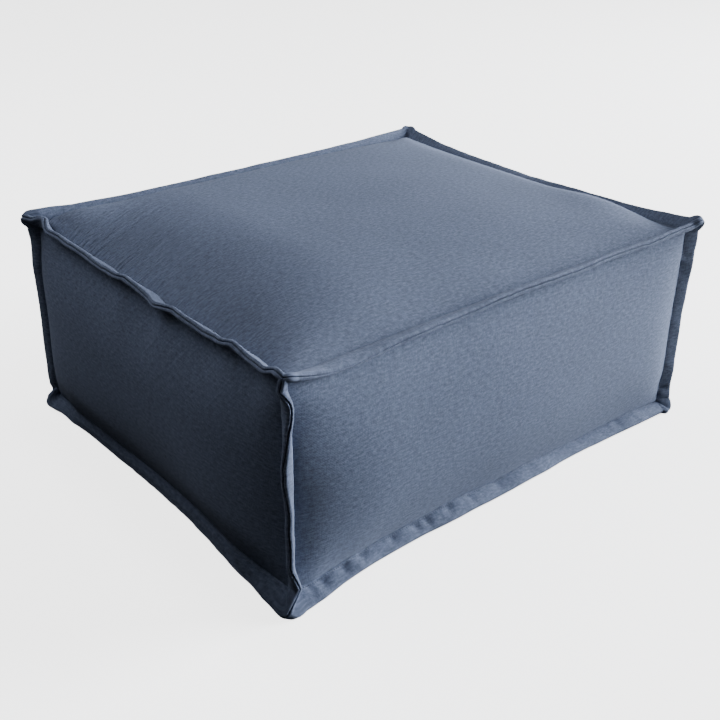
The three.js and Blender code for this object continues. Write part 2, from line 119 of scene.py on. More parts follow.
# How each edge runs, a row for each change: share of the way from its low end, tilt of the flange in
# degrees from its first panel's normal towards its second's, and how far the stitching lies out along both
# normals, where it does. Root is the direction in which the flange leaves the cloth, and drawn is how far in
# the filling draws the stitching halfway along. Where an edge differs it also has: widths by share of the
# way; dents, as dentsAlong says; folds, the pleats beside it in a panel; rounds, how broad its two tips are,
# or the point that a tip's outline is pulled to; fanRoots as above; ramp, how far in the cover rises beside
# it; full, how thick its plies are; soft, how much they round off; groove, how open its lip is between them.
edges = {
    "frontTop": {
        "root": 30, "drawn": (13, 5),
        "run": [(0, 35), (0.02, 20), (0.045, 3), (0.07, -6), (0.13, -11), (0.19, 2), (0.25, 10), (0.34, 14),
                (0.44, 25), (0.55, 28), (0.65, 23), (0.72, 30), (0.81, 30), (0.85, 27), (0.94, 37), (1, 44)],
        "full": 1.3, "soft": 0.5, "groove": 0.4},
    "backTop": {
        "root": 36, "drawn": (14, 1),
        "run": [(0, 52), (0.05, 52), (0.13, 46), (0.25, 38), (0.42, 44), (0.6, 39), (0.85, 45), (1, 45)],
        "widths": [(0, 29), (0.03, 28.5), (0.08, 25), (1, 25)], "rounds": (0.6, 0.75)},
    "leftTop": {
        "root": 38, "drawn": (8, 12),
        "run": [(0, 58), (0.007, 57), (0.03, 33), (0.07, 34, -3), (0.1, 31, -6), (0.158, 63, -1),
                (0.18, 48), (0.26, 25, -5), (0.34, 43, -1), (0.37, 48, -1), (0.43, 19, -1), (0.48, 18, -8),
                (0.57, 57, -1), (0.595, 46, 1), (0.67, 22, -6), (0.77, 38, -3), (0.87, 41, -2),
                (0.92, 37, -1), (0.962, 96), (0.975, 80), (0.99, 45), (1, 40)],
        "folds": {
            "top": {"deep": 1.3, "reach": 95, "slant": 0.24, "spacing": 9,
                    "where": [(0, 0.2), (0.3, 0.35), (0.45, 0.7), (0.6, 1.1), (0.8, 1.2), (0.92, 0.5),
                              (1, 0.3)]},
            "left": {"deep": 2.2, "reach": 60, "slant": 0.9, "spacing": 10,
                     "where": [(0, 0.08), (0.3, 0.18), (0.6, 0.22), (0.8, 0.12), (1, 0.04)]}},
        "groove": 0.8},
    "rightTop": {
        "root": 34, "drawn": (14, 8),
        "run": [(0, 40), (0.05, 31), (0.15, 28), (0.35, 23), (0.5, 8), (0.65, 12), (0.85, 16), (0.94, 26),
                (1, 40)]},
    "frontBottom": {
        "root": 34, "drawn": (14, 0),
        "run": [(0, 27, 2), (0.05, 27, 7), (0.13, 29, 7, -3), (0.2, 30, 4, -1), (0.3, 29, 5, -2),
                (0.37, 31, 6, -5), (0.5, 29, 7, -1.5), (0.575, 29, 6, -3), (0.71, 30, 3, 3),
                (0.82, 29, 2, 1), (0.905, 28, 2, -2.5), (1, 28)],
        "widths": [(0, 35), (0.012, 34), (0.03, 31), (0.06, 28), (0.1, 26), (0.28, 25), (0.37, 29),
                   (0.5, 26), (0.575, 27.5), (0.71, 23), (0.82, 25), (0.905, 27), (1, 25)],
        "dents": [(10, -1.6, 7, 1.1), (24, 2, 8), (47, 2.8, 10), (90, 3.2, 11), (128, 3.4, 11),
                  (192, 2.4, 10), (242, 3, 10), (264, 2.2, 8), (312, 2.8, 10), (361, 1.8, 9), (425, 1.6, 9),
                  (505, 0.9, 9), (560, 1.1, 9), (640, 0.8, 9), (742, 1.1, 9), (790, -1, 8)],
        "rounds": (0.6, 0.85), "ramp": 25},
    "backBottom": {
        "root": 34, "drawn": (14, 0),
        "run": [(0, 42), (0.02, 40, 1, 1), (0.08, 28, 4, 5), (0.35, 30, 1, 4), (0.7, 29, 5, 2),
                (0.94, 28, 3), (1, 28)],
        "widths": [(0, 28), (0.05, 25), (1, 25)], "rounds": ((-458, 391, 9), 0.75)},
    "leftBottom": {
        "root": 52, "drawn": (14, 0),
        "run": [(0, 22, 2), (0.05, 24, 6, 0.4), (0.18, 77, 23.1, -9.2), (0.33, 82, 17.6, -8.4),
                (0.5, 85, 14.8, -7.2), (0.7, 88, 16.9, -5.7), (0.87, 90, 15.8, -4.3), (0.93, 55, 5, 0.5),
                (0.97, 42, 1, 1), (1, 42)],
        "widths": [(0, 36), (0.04, 34), (0.1, 27), (0.18, 25), (0.93, 24), (1, 30)],
        "rounds": (0.35, (-462, 384, 9)), "ramp": 25},
    "rightBottom": {
        "root": 34, "drawn": (14, 0),
        "run": [(0, 28), (0.07, 28, 3), (0.4, 29, 4), (0.75, 30), (0.93, 28, 4), (1, 28)],
        "widths": [(0, 21), (0.03, 22), (0.08, 25), (1, 25)]},
    "frontLeft": {
        "root": 45, "drawn": (5, 5),
        "run": [(0, -3), (0.055, -5), (0.085, 10), (0.14, 34), (0.24, 42, 1), (0.43, 42, 2), (0.57, 69, 5),
                (0.65, 66, 5), (0.74, 45, 3, 0.5), (0.83, 16, 0, 2.5), (0.9, 5, 0, 4), (0.935, 9, 0, 4),
                (0.96, 28, 0, 3), (0.985, 60, 0, 1), (1, 66)],
        "rounds": (0.1, 0.3), "fanRoots": (17, 5), "full": 1.2, "soft": 0.5, "groove": 0.8},
    "frontRight": {
        "root": 75, "drawn": (0, 0),
        "run": [(0, 62), (0.1, 70, 0, -0.9), (0.2, 75, 1, 3.2), (0.5, 76, 0, 1), (0.85, 74, 0, 0.5),
                (0.97, 72, 0, -1), (1, 70)],
        "widths": [(0, 27.5), (0.08, 26.5), (0.2, 24.7), (0.5, 25.5), (0.8, 27), (0.95, 29), (1, 27)],
        "dents": [(30, 3, 4), (18, -2, 8), (70, 0.7), (103, 0.6), (140, 0.8), (183, 0.7), (226, 0.8),
                  (262, 0.7), (300, 1.8, 6), (288, -0.8, 4)],
        "rounds": (0.55, 0.75), "full": 0.35},
    "backLeft": {
        "root": 30, "drawn": (0, 0),
        "run": [(0, 24), (0.06, 4, 0, 1), (0.13, 4, 0, 3), (0.19, 6, 0, 3), (0.45, 12, 0, 2),
                (0.77, 14, 1, 4), (0.92, 22, 0, 0.5), (1, 42)],
        "widths": [(0, 14), (0.03, 14), (0.06, 22), (0.13, 22), (0.2, 20), (0.8, 20), (1, 24)],
        "rounds": (0.9, 0.75)},
    "backRight": {
        "root": 45, "drawn": (5, 5),
        "run": [(0, 44), (0.15, 42), (0.55, 52), (0.85, 40), (1, 45)]},
}
edgeNumber = {name: i for i, name in enumerate(edges)}

# The four edges round each panel: low, far, high and near, by the panel's own axes
loops = {
    "top": ("frontTop", "rightTop", "backTop", "leftTop"),
    "bottom": ("frontBottom", "rightBottom", "backBottom", "leftBottom"),
    "front": ("frontBottom", "frontRight", "frontTop", "frontLeft"),
    "back": ("backBottom", "backRight", "backTop", "backLeft"),
    "left": ("leftBottom", "backLeft", "leftTop", "frontLeft"),
    "right": ("rightBottom", "backRight", "rightTop", "frontRight"),
}


def unit(v):
    return v / np.linalg.norm(v, axis=-1, keepdims=True)


def smooth(x):
    x = np.clip(x, 0, 1)
    return x * x * (3 - 2 * x)


# A seeded wave along a line, from -1 to 1, with one turn in about every wavelength
def waveAlong(seed, distance, wavelength):
    count = 4096
    values = np.random.default_rng(seed).uniform(-1, 1, count)
    place = np.asarray(distance, float) / wavelength + count / 4
    low = np.floor(place).astype(int)
    return values[low] + (values[low + 1] - values[low]) * smooth(place - low)


# One column of an edge's rows at any share of the way, rounded at each row and never past it
def throughRows(rows, column, share):
    at = np.array([row[0] for row in rows], float)
    value = np.array([row[column] for row in rows], float)
    rise = np.diff(value) / np.diff(at)
    slope = np.zeros(len(at))
    turn = rise[:-1] * rise[1:] > 0
    slope[1:-1][turn] = 2 * rise[:-1][turn] * rise[1:][turn] / (rise[:-1] + rise[1:])[turn]
    i = np.clip(np.searchsorted(at, share, "right") - 1, 0, len(at) - 2)
    span = at[i + 1] - at[i]
    t = (share - at[i]) / span
    return (value[i] * (1 + 2 * t) * (1 - t) ** 2 + value[i + 1] * t * t * (3 - 2 * t)
            + span * t * (1 - t) * (slope[i] * (1 - t) - slope[i + 1] * t))


# A panel's normal, and its own left-to-right and upward axes
def axesOf(panel):
    normal = np.array(panels[panel]["normal"], float)
    return normal, *np.eye(3)[normal == 0]


def normalsOf(edge):
    return [axesOf(panel)[0] for panel in edge["panels"]]


def cornersOf(edge):
    ends = []
    for way in (-1, 1):
        signs = sum(normalsOf(edge))
        signs[edge["axis"]] = way
        name = ("back" if signs[1] > 0 else "front") + ("Right" if signs[0] > 0 else "Left")
        name += "Top" if signs[2] > 0 else "Floor"
        ends.append([np.array(corners[name][k], float) for k in ("stitch", "tip")])
    return ends


# Where the stitching runs at some shares of the way
def stitchLine(edge, share):
    (low, _), (high, _) = edge["corners"]
    first, second = normalsOf(edge)
    draw = 1 - np.abs(2 * share - 1) ** 3
    out = throughRows(edge["run"], 2, share) - edge["drawn"][0] * draw
    up = throughRows(edge["run"], 3, share) - edge["drawn"][1] * draw
    line = low + (high - low) * share[:, None]
    return line + out[:, None] * first + up[:, None] * second


# The middle surface of a flange: a row of points across it for each share of the way
def flangeMiddle(name, share):
    edge = edges[name]
    first, second = normalsOf(edge)
    stitch = stitchLine(edge, share)
    length = edge["length"]
    along = share * length
    seed = 100 * edgeNumber[name]
    at, tilts = [row[0] for row in edge["run"]], [row[1] for row in edge["run"]]
    shifts = (-flange["settle"], 0, flange["settle"])
    tilt = np.mean([np.interp(share + shift / length, at, tilts) for shift in shifts], 0)
    calmFrom, calmOver = flange["calmEnds"]
    calm = smooth((np.minimum(share, 1 - share) * length - calmFrom) / calmOver)
    (broad, broadWave), (fine, fineWave) = flange["wobble"]
    tilt += calm * (broad * waveAlong(seed, along, broadWave) + fine * waveAlong(seed + 1, along, fineWave))
    width = throughRows(edge.get("widths", [(0, flange["width"]), (1, flange["width"])]), 1, share)
    uneven, unevenWave = flange["uneven"]
    width = width + uneven * calm * waveAlong(seed + 2, along, unevenWave)
    # the section leaves the stitching along the root's direction and bends over to the tilt
    rootShare = flange["root"] / flange["width"]
    bendFrom, bendOver = flange["bend"]
    bend = smooth((levels - bendFrom * rootShare) / (bendOver * rootShare))
    angle = np.radians(edge["root"] + (tilt[:, None] - edge["root"]) * bend)
    heading = np.cos(angle)[..., None] * first + np.sin(angle)[..., None] * second
    steps = np.diff(levels)[None, :, None] * width[:, None, None]
    between = (heading[:, 1:] + heading[:, :-1]) / 2
    start = heading[:, :1] * levels[0] * width[:, None, None]
    offset = np.concatenate([start, start + np.cumsum(steps * between, 1)], 1)
    # at a corner the sections turn about the stitched point, and the lip runs out to a rounded tip
    fan = flange["fan"]
    for end, (stitchedCorner, tip) in enumerate(edge["corners"]):
        near = slice(0, fan) if end == 0 else slice(-fan, None)
        u = np.arange(fan, 0, -1) / fan
        u = (u if end == 0 else u[::-1])[:, None]
        regular = stitch[near] + offset[near, -1]
        begin = regular[-1 if end == 0 else 0]
        mitreWay = unit(tip - stitchedCorner)
        aside = begin - tip
        aside -= aside @ mitreWay * mitreWay
        bulge = edge.get("rounds", (flange["tipRound"],) * 2)[end]
        pull = np.array(bulge) if isinstance(bulge, tuple) else tip + bulge * aside
        lip = (1 - u) ** 2 * begin + 2 * u * (1 - u) * pull + u ** 2 * tip
        straight = (lip - stitch[near])[:, None, :] * levels[None, :, None]
        curved = offset[near] + (lip - regular)[:, None, :] * levels[None, :, None]
        offset[near] = curved + (straight - curved) * smooth(flange["fanTurn"] * u)[..., None]
    return stitch[:, None, :] + offset


# The direction off a flange's middle surface towards one of its panels, at each of its points
def flangeNormals(middle, edge, panel):
    alongIt = np.gradient(middle, axis=0)
    across = np.gradient(middle, axis=1)
    alongIt[:, 0] = alongIt[:, 1]
    normal = unit(np.cross(alongIt, across))
    first, second = normalsOf(edge)
    root = np.radians(edge["root"])
    towardsSecond = -np.sin(root) * first + np.cos(root) * second
    sign = np.sign(normal[len(normal) // 2, 0] @ towardsSecond)
    return normal * sign * (1 if edge["panels"][1] == panel else -1)


# Dents pressed in beside the stitching at listed places: place, depth, reach, and how far they slant
# along the edge for each millimetre out from the stitching
def dentsAlong(edge, distance):
    dent = np.zeros((len(distance), len(levels)))
    for place, deep, *shape in edge.get("dents", ()):
        reach, slant = shape + flange["dentShape"][len(shape):]
        away = distance[:, None] - place - slant * levels[None, :] * flange["width"]
        dent += deep * np.exp(-(away / reach) ** 2)
    deepest, spread = flange["dentPlace"]
    return dent * np.exp(-((levels - deepest) / spread) ** 2)[None, :]


for name, edge in edges.items():
    sides = ("front", "back", "left", "right", "top", "bottom")
    edge["panels"] = [side for side in sides if side in name.lower()]
    edge["axis"] = list(sum(normalsOf(edge))).index(0)
    edge["corners"] = cornersOf(edge)
    edge["run"] = [row + (0, 0)[len(row) - 2:] for row in edge["run"]]
    edge["length"] = length = np.linalg.norm(edge["corners"][1][0] - edge["corners"][0][0])
    count = int(round(length / flange["step"]))
    low, high = (root / length for root in edge.get("fanRoots", flange["fanRoots"]))
    closeLow, closeHigh = (np.linspace(0, fanned, flange["fan"] + 1)[:-1] for fanned in (low, high))
    edge["share"] = np.concatenate([closeLow, np.linspace(low, 1 - high, count), 1 - closeHigh[::-1]])
    edge["middle"] = flangeMiddle(name, edge["share"])
    edge["normals"] = {p: flangeNormals(edge["middle"], edge, p) for p in edge["panels"]}
    fromEnd = np.minimum(edge["share"], 1 - edge["share"])[:, None] * length
    edge["dent"] = dentsAlong(edge, edge["share"] * length) * smooth(fromEnd / flange["dentEnds"])
    pressedTo, pressedOver = flange["pressedTo"]
    pressed = flange["pressed"] * edge["dent"] * smooth(levels / flange["pressedFrom"])
    pressed = pressed * smooth((pressedTo - levels) / pressedOver)
    edge["middle"] = edge["middle"] - edge["normals"][edge["panels"][0]] * pressed[..., None]
    edge["normals"] = {p: flangeNormals(edge["middle"], edge, p) for p in edge["panels"]}


# At a corner a panel's ply is mitred: the offset that stays one unit from both of its flanges, and is no
# longer than longest where they meet sharply
def mitre(a, b, longest=1.8):
    both = (a + b) / (1.001 + np.sum(a * b, -1, keepdims=True))
    return both / np.maximum(1, np.linalg.norm(both, axis=-1, keepdims=True) / longest)


# Puckers: short pleats that the topstitching gathers, at uneven places along an edge, from 0 to 1
pucker = {
    "spacing": 14,
    "fine": (0.5, 0.55),  # the finer wave's depth and spacing, as shares of the broad one's
    "change": 90,  # how soon puckered lengths and smooth ones take turns
}


def puckerAlong(name, distance, spacing=pucker["spacing"]):
    seed = 1000 + 10 * edgeNumber[name]
    fine, fineSpacing = pucker["fine"]
    rough = waveAlong(seed, distance, spacing) + fine * waveAlong(seed + 1, distance, spacing * fineSpacing)
    strength = 0.5 + 0.5 * waveAlong(seed + 2, distance, pucker["change"])
    return smooth(rough) * strength


def meshOf(name, points, faces, uvs=None):
    mesh = bpy.data.meshes.new(name)
    mesh.from_pydata((points / 1000).tolist(), [], [list(map(int, f)) for f in faces])
    mesh.update()
    if uvs is not None:
        layer = mesh.uv_layers.new(name="cloth")
        loop = np.zeros(len(mesh.loops), int)
        mesh.loops.foreach_get("vertex_index", loop)
        layer.data.foreach_set("uv", (uvs[loop] / 1000).astype(np.float32).ravel())
    mesh.polygons.foreach_set("use_smooth", [True] * len(mesh.polygons))
    piece = bpy.data.objects.new(name, mesh)
    bpy.context.scene.collection.objects.link(piece)
    return piece


# Quads between neighbouring rows of a grid of point numbers
def quads(numbers):
    a, b = numbers[..., :-1, :-1], numbers[..., :-1, 1:]
    c, d = numbers[..., 1:, 1:], numbers[..., 1:, :-1]
    return np.stack([a, b, c, d], -1).reshape(-1, 4)


# The outer and inner face of an edge's plies, with its own full, soft and groove
def plyFaces(edge):
    outer = np.where(levels > 0, outerFace[1] + (outerFace - outerFace[1]) * edge.get("full", 1), outerFace)
    softFrom, softOver = flange["softFrom"]
    rounded = outer.max() * np.sqrt(1 - np.clip((levels - softFrom) / softOver, 0, 1) ** 2)
    outer = outer - edge.get("soft", 0) * np.maximum(outer - rounded, 0)
    # less groove brings the last rows of the outer face in with the inner one's
    groove = edge.get("groove", 1)
    closed = (1 - groove) * (innerFace[-1] - innerFace[0])
    outer = outer - closed * smooth((np.arange(len(outer)) - len(outer) + 4) / 3)
    return outer, innerFace[0] + (innerFace - innerFace[0]) * groove


# A panel's margin: its own ply of the four flanges round it, joined into one frame at its corners
margin = {
    "pucker": (0.9, 0.35),  # depth of the puckers, and how far out they reach as a share of the width
    "puff": (0.35, 24),  # height and spacing of the slight swellings between them
    "calmEnds": 25,  # both fade this near to a corner
    "thinnest": 0.1,
    "offFloor": 0.4,  # least height of the inner face
}


def marginPiece(panel):
    _, across, up = axesOf(panel)
    puckerDeep, puckerReach = margin["pucker"]
    puffHigh, puffSpacing = margin["puff"]
    fan = flange["fan"]
    rows, uvRows = [], []
    low, far, high, near = loops[panel]
    for k, (name, way) in enumerate(((low, 1), (far, 1), (high, -1), (near, -1))):
        edge = edges[name]
        outer, inner = plyFaces(edge)
        middle = edge["middle"][::way]
        normals = edge["normals"][panel][::way].copy()
        along = (edge["share"] * edge["length"])[::way]
        before, after = loops[panel][k - 1], loops[panel][(k + 1) % 4]
        beforeEnd = edges[before]["normals"][panel][-1 if k in (1, 2) else 0]
        afterEnd = edges[after]["normals"][panel][0 if k in (0, 3) else -1]
        share = smooth(1 - np.arange(fan) / fan)[:, None, None]
        for neighbour, turn in ((beforeEnd, 1), (afterEnd, -1)):
            turned = normals[::turn]
            turned[:fan] += (mitre(turned[0], neighbour) - turned[0]) * share
        dent = puckerDeep * puckerAlong(name, along)[:, None] * np.exp(-levels / puckerReach)[None, :]
        puff = puffHigh * waveAlong(3000 + edgeNumber[name], along, puffSpacing)[:, None]
        puff = puff * np.sin(np.pi * levels)[None, :]
        fromEnd = np.minimum(along, edge["length"] - along)[:, None]
        outside = outer[None, :] + (puff - dent) * smooth(fromEnd / margin["calmEnds"])
        if panel == edge["panels"][0]:
            outside = outside - (1 - flange["pressed"]) * edge["dent"][::way]
        outside = np.maximum(outside, inner[None, :] + margin["thinnest"])
        top = middle + normals * outside[..., None]
        under = middle + normals * inner[None, :, None]
        top[..., 2] = np.maximum(top[..., 2], 0)
        under[..., 2] = np.maximum(under[..., 2], margin["offFloor"])
        ring = np.concatenate([top, under[:, ::-1][:, 1:]], 1)
        # the weave carries on from the panel's own, out across the flange
        stitch = middle[:, 0]
        outward = np.array([(0, -1), (1, 0), (0, 1), (-1, 0)][k])
        flat = np.stack([stitch @ across, stitch @ up], 1)
        spread = np.concatenate([levels, levels[::-1][1:]]) * flange["width"]
        uv = flat[:, None, :] + spread[None, :, None] * outward
        rows.append(ring[:-1])
        uvRows.append(uv[:-1])
    points, uvs = np.concatenate(rows), np.concatenate(uvRows)
    numbers = np.arange(points[..., 0].size).reshape(points.shape[:2])
    faces = quads(np.pad(numbers, (0, 1), "wrap"))
    points = points.reshape(-1, 3)
    a, b, c, d = (points[faces[:, i]] for i in range(4))
    inwards = np.sum(a * (np.cross(b, c) + np.cross(c, d))) < 0
    faces = faces[:, [0, 3, 2, 1]] if inwards else faces
    return meshOf(panel + "PanelMargin", points, faces, uvs.reshape(-1, 2))


margins = {panel: marginPiece(panel) for panel in panels}
print("panel margins made")

# The filled body, and the filling that a cloth simulation presses into its cover
body = {
    "cells": (76, 60, 28),  # by axis
    "hem": 1.6,  # how far a hem lies from the middle of its flange
    "edgeLift": (2.5, 7),  # how far the cover stands off its hems, and how soon
    "plumpEdge": 14,  # how soon the plump places rise from a hem
    "turnsReach": 40,  # how far in from a hem its small turns still show in the panel
    "closer": 0.4,  # how much closer the cells lie at the left, where the cloth gathers most
    "start": 0.88,  # the share of its swelling that the cover is cut with
    "frames": 20,
    "capAtSeam": 0.8,  # the filling moves the cloth by no more than this at a seam
    "cloth": {"quality": 5, "mass": 0.4, "tension_stiffness": 15, "compression_stiffness": 15,
              "shear_stiffness": 8, "bending_stiffness": 2.0, "air_damping": 2, "use_pressure": True,
              "uniform_pressure_force": 4.0, "shrink_min": -0.0005},
    "fold": {"deep": 0.35, "reach": 24, "slant": 0.1, "spacing": 16},
    "foldStart": (6, 30),  # how far from the hem and from the corners all folds are full
    "ripple": (0.5, 0.25, 50),  # a gathered fold's finer ripple, and how much and how soon its depth changes
    "underside": (26, 14),  # the cells round the underside, before its flat middle
}


# How much of a panel's swelling it has at a distance from one side
def sideSwell(distance, side):
    share, shoulder, dome = side
    rise = 1 - np.exp(-distance / shoulder)
    return share * rise + (1 - share) * (1 - np.clip(1 - distance / dome, 0, 1) ** 2)


def cellShares(axis):
    share = np.linspace(0, 1, body["cells"][axis] + 1)
    return share * (1 - body["closer"] * (1 - share)) if axis == 0 else share


def hemLine(panel, name):
    edge = edges[name]
    share = cellShares(edge["axis"])
    stitch = stitchLine(edge, share)
    normals = edge["normals"][panel][:, 0]
    side = unit(np.stack([np.interp(share, edge["share"], normals[:, i]) for i in range(3)], 1))
    return stitch, side


# A hem without its small turns: the first three waves of it between its ends
def calmed(line, share):
    chord = line[0] * (1 - share[:, None]) + line[-1] * share[:, None]
    waves = np.sin(np.pi * np.outer(share, (1, 2, 3)))
    return chord + waves @ np.linalg.lstsq(waves, line - chord, rcond=None)[0]


# The panel's surface between its four hems, as its cover is cut, and how much further it may fill out
def panelGrid(panel):
    facts = panels[panel]
    normal, across, up = axesOf(panel)
    low, far, high, near = (hemLine(panel, name) for name in loops[panel])
    # at a corner both hems share one mitred point
    for a, i, b, j in ((low, 0, near, 0), (low, -1, far, 0), (high, 0, near, -1), (high, -1, far, -1)):
        a[1][i] = b[1][j] = mitre(a[1][i], b[1][j])
    lines = [stitch + side * body["hem"] for stitch, side in (low, far, high, near)]
    shares = [cellShares(edges[name]["axis"]) for name in loops[panel]]
    low, far, high, near = (calmed(line, share) for line, share in zip(lines, shares))
    turns = [line - calm for line, calm in zip(lines, (low, far, high, near))]
    u, v = np.meshgrid(shares[0], shares[1])
    u, v = u[..., None], v[..., None]
    grid = (low[None] * (1 - v) + high[None] * v + near[:, None] * (1 - u) + far[:, None] * u
            - low[0] * (1 - u) * (1 - v) - low[-1] * u * (1 - v) - high[0] * (1 - u) * v - high[-1] * u * v)
    width = np.linalg.norm(low[-1] - low[0])
    height = np.linalg.norm(near[-1] - near[0])
    distances = (v * height, (1 - u) * width, (1 - v) * height, u * width)
    for k, (turn, distance) in enumerate(zip(turns, distances)):
        grid = grid + (turn[None] if k in (0, 2) else turn[:, None]) * np.exp(-distance / body["turnsReach"])
    plump = 0
    for x, y, radius, tall in facts.get("plump", ()):
        away = np.hypot(grid @ across - x, grid @ up - y)
        plump = plump + tall * np.exp(-(away / radius) ** 2)[..., None]
    swell = facts["swell"]
    lift, liftOver = body["edgeLift"]
    for distance, side, name in zip(distances, facts["sides"], loops[panel]):
        swell = swell * sideSwell(distance, side)
        lift = lift * (1 - np.exp(-distance / edges[name].get("ramp", liftOver)))
        plump = plump * (1 - np.exp(-distance / body["plumpEdge"]))
    swell = swell + plump
    start = grid + (body["start"] * swell + lift) * normal
    start[..., 2] = np.maximum(start[..., 2], 0)
    return start, (1 - body["start"]) * swell


# The panels' grids as one closed mesh, joined by a strip along each edge and a triangle at each corner
def bodyMesh(name, grids, underside=None, gathers=None):
    points, faces, where, uvs, flat = [], [], {}, [], []
    start = 0
    for panel, grid in grids.items():
        normal, across, up = axesOf(panel)
        rows, columns = grid.shape[:2]
        numbers = np.arange(rows * columns).reshape(rows, columns) + start
        where[panel] = numbers
        start += rows * columns
        points.append(grid.reshape(-1, 3))
        uvs.append(np.stack([points[-1] @ across, points[-1] @ up], 1))
        cells = quads(numbers)
        way = 1 if np.cross(across, up) @ normal > 0 else -1
        if panel == "bottom" and underside:
            r, c = underside
            outside = np.ones((rows - 1, columns - 1), bool)
            outside[r:-r, c:-c] = False
            cells = cells[outside.ravel()]
            inside = numbers[r:rows - r, c:columns - c]
            ring = np.concatenate([inside[0, :-1], inside[:-1, -1], inside[-1, :0:-1], inside[:0:-1, 0]])
            flat.append(ring[::way].tolist())
        faces.append(cells[:, ::way])
    points = np.concatenate(points)
    hemOf = {}
    for panel, numbers in where.items():
        for edgeName, hem in zip(loops[panel], (numbers[0], numbers[:, -1], numbers[-1], numbers[:, 0])):
            hemOf[panel, edgeName] = hem
    for edgeName, edge in edges.items():
        strip = quads(np.stack([hemOf[panel, edgeName] for panel in edge["panels"]]))
        p = points[strip[len(strip) // 2]]
        facing = np.cross(p[1] - p[0], p[2] - p[0])
        faces.append(strip if facing @ sum(normalsOf(edge)) > 0 else strip[:, ::-1])
    cornerFaces = []
    for signs in itertools.product((-1, 1), repeat=3):
        three = []
        for panel, numbers in where.items():
            normal, across, up = axesOf(panel)
            if signs @ normal > 0:
                three.append(numbers[-1 if signs @ up > 0 else 0, -1 if signs @ across > 0 else 0])
        p = points[three]
        facing = np.cross(p[1] - p[0], p[2] - p[0])
        cornerFaces.append(three if facing @ signs > 0 else three[::-1])
    allFaces = [list(f) for block in faces for f in block] + cornerFaces + flat
    used = np.zeros(len(points), bool)
    used[np.concatenate(allFaces).astype(int)] = True
    number = np.cumsum(used) - 1
    allFaces = [[number[i] for i in f] for f in allFaces]
    piece = meshOf(name, points[used], allFaces, np.concatenate(uvs)[used])
    if gathers:
        field = piece.data.attributes.new("gather", "FLOAT_VECTOR", "POINT")
        values = np.concatenate([gathers[panel].reshape(-1, 3) for panel in grids])[used]
        field.data.foreach_set("vector", values.astype(np.float32).ravel())
    return piece, where, np.unique(np.concatenate(list(hemOf.values())))


# The filling's pressure works on the cover between its pinned hems, and the result is kept in the mesh
def fillOut(piece, pinned):
    group = piece.vertex_groups.new(name="stitched")
    group.add([int(i) for i in pinned], 1.0, "REPLACE")
    cloth = piece.modifiers.new("filling", "CLOTH")
    cloth.settings.vertex_group_mass = group.name
    for key, value in body["cloth"].items():
        setattr(cloth.settings, key, value)
    cloth.settings.effector_weights.gravity = 0
    cloth.point_cache.frame_start = 1
    cloth.point_cache.frame_end = body["frames"]
    for number in range(1, body["frames"] + 1):
        bpy.context.scene.frame_set(number)
    depsgraph = bpy.context.evaluated_depsgraph_get()
    evaluated = piece.evaluated_get(depsgraph).data
    filled = np.zeros(len(evaluated.vertices) * 3)
    evaluated.vertices.foreach_get("co", filled)
    piece.modifiers.remove(cloth)
    bpy.context.scene.frame_set(1)
    return filled.reshape(-1, 3) * 1000


# Twice as many points along one axis of a grid, on a smooth curve through the old ones
def finer(grid, axis):
    g = np.moveaxis(grid, axis, 0)
    ends = np.concatenate([2 * g[:1] - g[1:2], g, 2 * g[-1:] - g[-2:-1]])
    middle = (-ends[:-3] + 9 * ends[1:-2] + 9 * ends[2:-1] - ends[3:]) / 16
    out = np.empty((2 * len(g) - 1,) + g.shape[1:])
    out[::2] = g
    out[1::2] = middle
    return np.moveaxis(out, 0, axis)


# Pleats that run in from the topstitching and fade, drawn on the finished surface. Where an edge has its own
# folds, the gather says for each point how far along it lies, how far in, and how strong the pleats are.
def puckered(panel, grid):
    normal, across, up = axesOf(panel)
    x, y = grid @ across, grid @ up
    low, far, high, near = loops[panel]
    fullFrom, fullEnds = body["foldStart"]
    fine, change, changeSpacing = body["ripple"]
    dent = np.zeros(x.shape)
    gather = np.zeros(x.shape + (3,))
    for name, place, distance in (
            (low, x, y - y[:1]), (high, x, y[-1:] - y), (near, y, x - x[:, :1]), (far, y, x[:, -1:] - x)):
        edge = edges[name]
        fold = edge.get("folds", {}).get(panel, body["fold"])
        length = edge["length"]
        along = np.clip(place - edge["corners"][0][0][edge["axis"]], 0, length)
        distance = np.maximum(distance, 0)
        fade = np.exp(-distance / fold["reach"]) * smooth(distance / fullFrom)
        fade = fade * smooth(np.minimum(along, length - along) / fullEnds)
        place = along - fold["slant"] * distance
        if fold is body["fold"]:
            dent += fold["deep"] * puckerAlong(name, place, fold["spacing"]) * fade
        else:
            fade = fade * throughRows(fold["where"], 1, along / length)
            seed = 2000 + 10 * edgeNumber[name]
            ripple = waveAlong(seed, place, fold["spacing"])
            ripple = ripple + fine * waveAlong(seed + 1, place, fold["spacing"] / 2)
            strength = (1 - change + change * waveAlong(seed + 2, place, changeSpacing)) * fade
            dent += fold["deep"] * ripple * strength
            gather = np.stack([place, distance, strength], -1)
    out = grid - dent[..., None] * normal
    out[..., 2] = np.maximum(out[..., 2], 0)
    return out, gather


